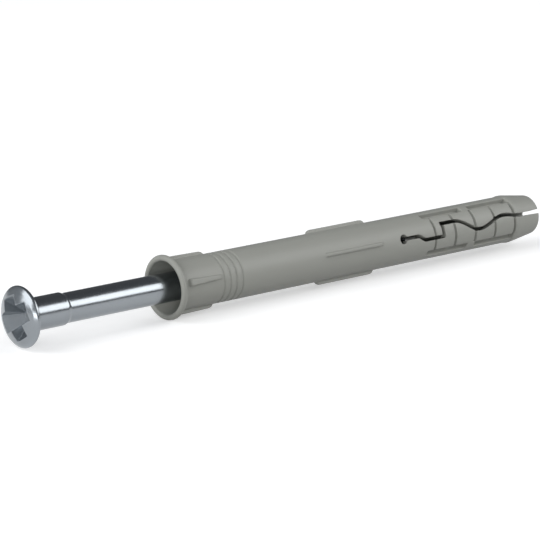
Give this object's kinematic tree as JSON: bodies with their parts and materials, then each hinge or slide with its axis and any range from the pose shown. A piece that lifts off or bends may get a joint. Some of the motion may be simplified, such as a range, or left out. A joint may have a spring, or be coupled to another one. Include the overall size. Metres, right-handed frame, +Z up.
{
  "type": "hammer fixing plug",
  "caption": "Nylon wall plug with a flared lip, fins and a slotted spreading end, holding a pan-head screw nail that is hammered in to spread it.",
  "frame": {"origin": "on the surface it lies on, under the middle of its length", "axes": "+X along the axis from the screw's head to the sleeve's tip, +Z up, -Y towards the side with the front slot"},
  "size_m": [0.1085, 0.0104, 0.0104],
  "materials": {
    "grey_nylon": "moulded, satin",
    "zinc_steel": "bright zinc plated"
  },
  "bodies": {
    "sleeve": {"plug_sleeve": "grey_nylon"},
    "nail": {"screw_nail": "zinc_steel"}
  },
  "joints": [
    {"name": "nail_drive", "type": "slide", "parent": "sleeve", "child": "nail", "axis": [1, 0, 0], "range_m": [0, 0.0267]}
  ]
}
